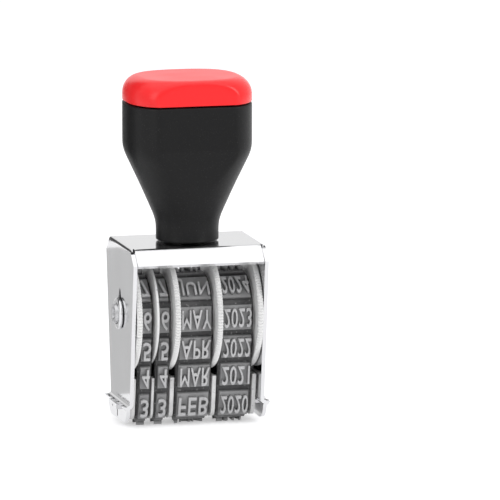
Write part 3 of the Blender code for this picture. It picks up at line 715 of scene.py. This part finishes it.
# Rubber bands.
# Each band is an endless moulded rubber strip. Twelve pads stand on it and a raised digit,
# month or year stands on each pad, in mirror writing so that it prints the right way round.
BAND_THICKNESS = 0.8 * MM
WHEEL_LINE = 7.3 * MM
CORNER_LINE = 1.5 * MM
CHARACTER_HEIGHT = 4.0 * MM
CHARACTER_RELIEF = 0.9 * MM
PAD_RELIEF = 0.9 * MM
PAD_MARGIN = 0.4 * MM
PAD_SIDE_MARGIN = 0.3 * MM
PAD_SLOPE = 0.22 * MM
CHARACTER_SIDE_MARGIN = 0.62 * MM
CHARACTER_COUNT = 12
CHARACTER_ROOT = 0.1 * MM
NARROW_ONE = 0.62
STRIP_EDGE = 0.08 * MM
MONTHS = ("JAN", "FEB", "MAR", "APR", "MAY", "JUN", "JUL", "AUG", "SEP", "OCT", "NOV", "DEC")
FIRST_YEAR = 2019
YEARS = tuple(str(FIRST_YEAR + k) for k in range(CHARACTER_COUNT))
DIGITS = ("2", "3", "4", "5", "6", "7", "8", "9", "", "", "0", "1")

PAD_HALF = CHARACTER_HEIGHT / 2 + PAD_MARGIN
TYPE_OFFSET = BAND_THICKNESS / 2 + PAD_RELIEF + CHARACTER_RELIEF
FLAT_HALF = PAD_HALF + PAD_MARGIN / 4
CORNER_Z = TYPE_OFFSET + CORNER_LINE
PATH_RISE = axle_z - CORNER_Z
PATH_SPAN = math.hypot(FLAT_HALF, PATH_RISE)
TANGENT = math.atan2(FLAT_HALF, PATH_RISE) + math.acos((WHEEL_LINE - CORNER_LINE) / PATH_SPAN)
CORNER_END = FLAT_HALF + CORNER_LINE * TANGENT
TANGENT_END = CORNER_END + math.sqrt(PATH_SPAN ** 2 - (WHEEL_LINE - CORNER_LINE) ** 2)
HALF_LENGTH = TANGENT_END + WHEEL_LINE * (math.pi - TANGENT)
PITCH = 2 * HALF_LENGTH / CHARACTER_COUNT


def band_path(along, offset):
    """(y, z) at lengths along the band's middle line, moved outwards by offset.

    The line runs flat under the platen, round a corner arc, up a straight tangent and over
    the wheel, and it is the same mirrored down the back.
    """
    along = (along + HALF_LENGTH) % (2 * HALF_LENGTH) - HALF_LENGTH
    side = np.where(along >= 0, -1, 1)
    run = np.abs(along)
    angle = np.clip((run - FLAT_HALF) / CORNER_LINE, 0, TANGENT)
    rise = np.clip(run - CORNER_END, 0, TANGENT_END - CORNER_END)
    y = np.minimum(run, FLAT_HALF) + (CORNER_LINE + offset) * np.sin(angle) + rise * math.cos(TANGENT)
    z = CORNER_Z - (CORNER_LINE + offset) * np.cos(angle) + rise * math.sin(TANGENT)
    over = TANGENT + (run - TANGENT_END) / WHEEL_LINE
    on_wheel = run > TANGENT_END
    y = np.where(on_wheel, (WHEEL_LINE + offset) * np.sin(over), y)
    z = np.where(on_wheel, axle_z - (WHEEL_LINE + offset) * np.cos(over), z)
    return side * y, z


def pad_frame(number, offset):
    """The middle, the up direction and the outward normal of a pad's flat face, in (y, z)."""
    middle = number * PITCH
    start = np.array(band_path(np.array(middle - PAD_HALF), offset))
    end = np.array(band_path(np.array(middle + PAD_HALF), offset))
    along = (end - start) / np.linalg.norm(end - start)
    return (start + end) / 2, -along, np.array([-along[1], along[0]])


def smoothstep(value):
    value = np.clip(value, 0, 1)
    return value * value * (3 - 2 * value)


def band_mesh(name, low, high):
    """A closed ring of cross-sections: the outer face rises to a pad, the inner face is plain.

    The outer height is base + PAD_RELIEF P(s) Q(x), where P and Q climb smoothly over
    PAD_SLOPE at the pad's ends and sides. Over a pad the face follows its flat chord.
    """
    slope = np.linspace(0, 1, 5)
    climb_up = -PAD_HALF + PAD_SLOPE * (slope - 0.5)
    climb_down = PAD_HALF - PAD_SLOPE * (slope[::-1] - 0.5)
    gap = np.linspace(PAD_HALF + PAD_SLOPE, PITCH - PAD_HALF - PAD_SLOPE, 3)
    one_pitch = np.concatenate([climb_up, [0], climb_down, gap])
    s = (np.arange(CHARACTER_COUNT)[:, None] * PITCH + one_pitch[None, :]).ravel()
    local = np.tile(one_pitch, CHARACTER_COUNT)
    climb = smoothstep((PAD_HALF - np.abs(local)) / PAD_SLOPE + 0.5)
    side = PAD_SIDE_MARGIN + PAD_SLOPE * slope
    edge = STRIP_EDGE
    x = np.concatenate([[low, low + edge], low + side, high - side[::-1], [high - edge, high]])
    across = smoothstep((np.minimum(x - low, high - x) - PAD_SIDE_MARGIN) / PAD_SLOPE)
    at_edge = (x - low < edge / 2) | (high - x < edge / 2)
    base = np.where(at_edge, BAND_THICKNESS / 2 - edge, BAND_THICKNESS / 2)
    relief_and_shade = climb[:, None] * across[None, :]
    flat_y, flat_z = band_path(s[:, None], base[None, :])
    top_y, top_z = pad_tops(s, local)
    y = flat_y + (top_y[:, None] - flat_y) * relief_and_shade
    z = flat_z + (top_z[:, None] - flat_z) * relief_and_shade
    outer = np.stack([np.broadcast_to(x, y.shape), y, z], axis=-1)
    inner_x = np.array([high, high - edge, (low + high) / 2, low + edge, low])
    inner_off = -BAND_THICKNESS / 2 + np.array([edge, 0, 0, 0, edge])
    inner_y, inner_z = band_path(s[:, None], inner_off[None, :])
    inner = np.stack([np.broadcast_to(inner_x, inner_y.shape), inner_y, inner_z], axis=-1)
    mesh = grid_mesh(name, np.concatenate([outer, inner], axis=1), closed_rows=True, closed_columns=True)
    # Painted shade: the point attribute holds half the pad's raise, so the rubber is painted dark in the gaps
    # and on the inner face, and mid-grey on the pads.
    height = mesh.attributes.new("relief_and_shade", "FLOAT", "POINT")
    values = np.concatenate([0.5 * relief_and_shade, np.zeros(inner_y.shape)], axis=1)
    height.data.foreach_set("value", values.ravel())
    work = bmesh.new()
    work.from_mesh(mesh)
    bmesh.ops.recalc_face_normals(work, faces=work.faces)
    work.to_mesh(mesh)
    work.free()
    return mesh


def pad_tops(s, local):
    """Points on the flat chord of the pad nearest to each length, at the pad's own height."""
    offset = BAND_THICKNESS / 2 + PAD_RELIEF
    centre = s - local
    start = np.array(band_path(centre - PAD_HALF, offset))
    end = np.array(band_path(centre + PAD_HALF, offset))
    share = np.clip((local + PAD_HALF) / (2 * PAD_HALF), -0.1, 1.1)
    top = start + (end - start) * share
    return top[0], top[1]


def glyph_mesh(label):
    """Raised writing from the built-in face: its outline, a wall and a narrow sloped edge."""
    text = bpy.data.curves.new("writing", "FONT")
    text.body = label
    text.size = 1
    text.extrude = 0.1
    text.bevel_depth = 0.018
    text.bevel_resolution = 1
    text.offset = -0.008
    text.resolution_u = 4
    text.space_character = 1.08
    drawn = new_object("writing", text)
    bpy.context.view_layer.update()
    mesh = bpy.data.meshes.new_from_object(drawn.evaluated_get(bpy.context.evaluated_depsgraph_get()))
    bpy.data.objects.remove(drawn, do_unlink=True)
    points = np.zeros(len(mesh.vertices) * 3)
    mesh.vertices.foreach_get("co", points)
    faces = [tuple(face.vertices) for face in mesh.polygons]
    bpy.data.meshes.remove(mesh)
    return points.reshape(-1, 3), faces


def write_characters(name, low, high, labels):
    """Set a label on each pad: x across the band, its top towards the pad's lower number.

    A point attribute is 1 on the raised face and 0 at the root; the rubber paints shade from it, dark at the
    root and pale on the face.
    """
    points, faces, shade_tones = [], [], []
    wide = high - low - 2 * CHARACTER_SIDE_MARGIN
    for number, label in enumerate(labels):
        if not label:
            continue
        glyph, glyph_faces = glyph_mesh(label)
        glyph_low, glyph_high = glyph.min(axis=0), glyph.max(axis=0)
        unit = (glyph - glyph_low) / (glyph_high - glyph_low) - 0.5
        centre, up, normal = pad_frame(number, BAND_THICKNESS / 2 + PAD_RELIEF)
        narrow = NARROW_ONE if label == "1" else 1
        x = (low + high) / 2 + unit[:, 0] * wide * narrow
        tall = unit[:, 1] * CHARACTER_HEIGHT
        out = (unit[:, 2] + 0.5) * (CHARACTER_RELIEF + CHARACTER_ROOT) - CHARACTER_ROOT
        y = centre[0] + tall * up[0] + out * normal[0]
        z = centre[1] + tall * up[1] + out * normal[1]
        start = sum(len(block) for block in points)
        points.append(np.column_stack([x, y, z]))
        shade_tones.append(np.where(unit[:, 2] > 0.35, 1.0, 0.0))
        faces += [tuple(start + i for i in face) for face in glyph_faces]
    mesh = bpy.data.meshes.new(name)
    mesh.from_pydata(np.concatenate(points), [], faces)
    height = mesh.attributes.new("relief_and_shade", "FLOAT", "POINT")
    height.data.foreach_set("value", np.concatenate(shade_tones))
    tidy_mesh(mesh)
    return mesh


def band_rubber():
    """Grey moulded rubber: painted shade darkens it down in the grooves and leaves the raised faces paler,
    with dust specks and a cloudy tone.
    """
    paint = Paint("band_rubber", 0.5, ior=1.5)
    mottle = paint.effect(MOTTLE, Broad_Scale=220, Fine_Scale=2600)
    specks = paint.effect(SPECKS, Scale=1800, Share=0.22)
    relief_and_shade = paint.nodes.new("ShaderNodeAttribute")
    relief_and_shade.attribute_name = "relief_and_shade"
    # Painted shade by height: near black at the roots and in the grooves, pale grey on the raised faces.
    tone = paint.blend(relief_and_shade.outputs["Fac"], (0.045, 0.045, 0.046), (0.56, 0.56, 0.565))
    cloud = paint.blend(paint.ramp(mottle.outputs["Broad"], 0, 0.2), tone, (0.14, 0.14, 0.142))
    paint.feed(paint.blend(specks.outputs["Speck"], cloud, (0.33, 0.33, 0.33)), "Base Color")
    paint.feed(paint.ramp(mottle.outputs["Fine"], 0.42, 0.62), "Roughness")
    paint.bump(mottle.outputs["Fine"], 0.012 * MM, 0.6)
    return paint


def make_bands():
    rubber = band_rubber()
    for node, labels in (
        ("band_day_tens", DIGITS),
        ("band_day_units", DIGITS),
        ("band_month", MONTHS),
        ("band_year", YEARS),
    ):
        low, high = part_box(node)
        strip = new_object(node + "_strip", band_mesh(node + "_strip", low[0], high[0]))
        characters = new_object(node + "_characters", write_characters(node, low[0], high[0], labels))
        for piece in (strip, characters):
            smooth(piece, 40)
            wear(piece, rubber)
            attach(piece, "frame")
        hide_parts(node)


make_bands()

# Handle and cap.
# The grip is one black moulding: a round stem swells into a shoulder with a flat front and
# back. A glossy red cap carries its plan on upwards and rounds over to a flat top.
STEM = 6.4 * MM
STEM_RISE = 3.2 * MM
TAPER = 16.2 * MM
GRIP_EDGE = 0.25 * MM
CAP_EDGE = 0.2 * MM
CAP_GAP = 0.3 * MM
CAP_SKIRT = 1.4 * MM
CAP_ROUND_RISE = 3.7 * MM
CAP_ROUND_REACH = 3.4 * MM
CAP_TOP_REACH = 7 * MM
FLAT_LEAN = 2.4 * MM
FLAT_EDGE = 0.16 * MM
STEM_POWER = 2.0
SHOULDER_POWER = 2.6
SWELL = ((0.0, 0.0), (0.08, 0.035), (0.2, 0.16), (0.5, 0.48), (0.8, 0.82), (0.93, 0.965), (1.0, 1.0))
grip_low, grip_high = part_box("handle_body")
cap_low, cap_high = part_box("handle_cap")
FULL_WIDTH = grip_high[0]
FULL_DEPTH = 11.9 * MM
FLAT_DEPTH = grip_high[1]
STEM_TOP = grip_low[2] + STEM_RISE
SHOULDER = STEM_TOP + TAPER
SWELL_BLUR = np.linspace(-1.2 * MM, 1.2 * MM, 9)
TURNS = np.linspace(0, 2 * np.pi, 320, endpoint=False)


def plan_ring(half_x, half_y, power, flat, turns):
    """Points of |x/a|^p + |y/b|^p = 1 with its front and back eased onto flats at y = +-flat."""
    c, s = np.cos(turns), np.sin(turns)
    x = half_x * np.sign(c) * np.abs(c) ** (2 / power)
    y = half_y * np.sign(s) * np.abs(s) ** (2 / power)
    excess = np.abs(y) - flat
    eased = flat - FLAT_EDGE * np.log1p(np.exp(-excess / FLAT_EDGE))
    eased = np.where(excess < -12 * FLAT_EDGE, np.abs(y), eased)
    return x, np.sign(y) * np.maximum(eased, 0)


def swell_at(z):
    """How far the grip has swelled from stem to shoulder at a height, from 0 to 1."""
    shares = np.array(SWELL)
    share = np.clip((z - STEM_TOP) / (SHOULDER - STEM_TOP), 0, 1)
    return np.interp(share, shares[:, 0], shares[:, 1])


def flat_at(z):
    """Half the depth of the flats at a height: upright on the shoulder, leaning in below it."""
    below = np.clip((SHOULDER - z) / (SHOULDER - STEM_TOP), 0, 1)
    return FLAT_DEPTH - FLAT_LEAN * below


def lofted(name, rings):
    """Skin a stack of rings and close both ends with a fan to their middles."""
    points = np.stack(rings)
    count = points.shape[1]
    mesh = bpy.data.meshes.new(name)
    faces = grid_faces(points.shape[0], count, closed_columns=True).tolist()
    flat_points = points.reshape(-1, 3)
    middles = [points[0].mean(axis=0), points[-1].mean(axis=0)]
    total = len(flat_points)
    last = total - count
    here = np.arange(count)
    ahead = (here + 1) % count
    faces += np.column_stack([ahead, here, np.full(count, total)]).tolist()
    faces += np.column_stack([last + here, last + ahead, np.full(count, total + 1)]).tolist()
    mesh.from_pydata(np.concatenate([flat_points, middles]), [], faces)
    tidy_mesh(mesh)
    return mesh


def grip_rings():
    """Rings up the grip. Its power, width and depth all follow the swell."""
    edge = GRIP_EDGE
    low, high = grip_low[2], grip_high[2]
    foot = [low, low + edge * 0.3, low + edge]
    head = [high - edge, high - edge * 0.3, high]
    heights = np.concatenate([foot, np.linspace(low + 2 * edge, high - 2 * edge, 110), head])
    rings = []
    for z in heights:
        swell = np.mean(swell_at(z + SWELL_BLUR))
        inset = edge * (1 - np.sqrt(np.clip(1 - (1 - min(z - low, high - z, edge) / edge) ** 2, 0, 1)))
        half_x = STEM + (FULL_WIDTH - STEM) * swell - inset
        half_y = STEM + (FULL_DEPTH - STEM) * swell - inset
        power = STEM_POWER + (SHOULDER_POWER - STEM_POWER) * swell
        x, y = plan_ring(half_x, half_y, power, flat_at(z) - inset, TURNS)
        rings.append(np.column_stack([x, y, np.full(x.size, z)]))
    return rings


def cap_rings():
    """Rings up the cap: a short upright skirt, then an elliptical round over to the top."""
    low, edge, reach = grip_high[2] + CAP_GAP, CAP_EDGE, CAP_ROUND_REACH
    skirt_top = low + CAP_SKIRT
    stops = [(low, edge), (low + edge * 0.3, edge * 0.35), (low + edge, 0), (skirt_top, 0)]
    turn = np.linspace(0, np.pi / 2, 26)[1:]
    stops += [(skirt_top + CAP_ROUND_RISE * math.sin(t), reach * (1 - math.cos(t))) for t in turn]
    top = skirt_top + CAP_ROUND_RISE
    stops += [(top, reach + step) for step in np.linspace(0, CAP_TOP_REACH, 10)[1:]]
    rings = []
    for z, inset in stops:
        flat = FLAT_DEPTH - (edge if z == low else 0)
        x, y = plan_ring(FULL_WIDTH - inset, FULL_DEPTH - inset, SHOULDER_POWER, flat, TURNS)
        rings.append(np.column_stack([x, y, np.full(x.size, z)]))
    return rings


def grip_black():
    """Black moulded plastic with a fine spark-eroded grain and a little handling sheen."""
    paint = Paint("grip_black", 0.4, ior=1.28)
    mottle = paint.effect(MOTTLE, Broad_Scale=70, Fine_Scale=4200)
    specks = paint.effect(SPECKS, Scale=4500, Share=0.24)
    tone = paint.blend(mottle.outputs["Broad"], (0.003, 0.003, 0.0033), (0.006, 0.006, 0.0063))
    paint.feed(paint.blend(specks.outputs["Speck"], tone, (0.025, 0.025, 0.025)), "Base Color")
    paint.feed(paint.ramp(mottle.outputs["Fine"], 0.34, 0.5), "Roughness")
    paint.bump(mottle.outputs["Fine"], 0.02 * MM, 0.45)
    return paint


def cap_red():
    """Glossy red plastic with a clear skin and a soft depth to its colour."""
    paint = Paint("cap_red", 0.28, ior=1.42)
    mottle = paint.effect(MOTTLE, Broad_Scale=50, Fine_Scale=2200)
    paint.feed(paint.blend(mottle.outputs["Broad"], (0.86, 0.008, 0.010), (0.97, 0.014, 0.018)), "Base Color")
    paint.feed(paint.ramp(mottle.outputs["Broad"], 0.24, 0.33), "Roughness")
    paint.bump(mottle.outputs["Fine"], 0.004 * MM, 0.4)
    return paint


def make_handle():
    grip = new_object("grip", lofted("grip", grip_rings()))
    cap = new_object("cap", lofted("cap", cap_rings()))
    for piece, paint, node, slot in (
        (grip, grip_black(), "handle_body", "black_plastic"),
        (cap, cap_red(), "handle_cap", "red_plastic"),
    ):
        smooth(piece, 50)
        wear(piece, paint)
        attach(piece, "frame")
        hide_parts(node)


make_handle()
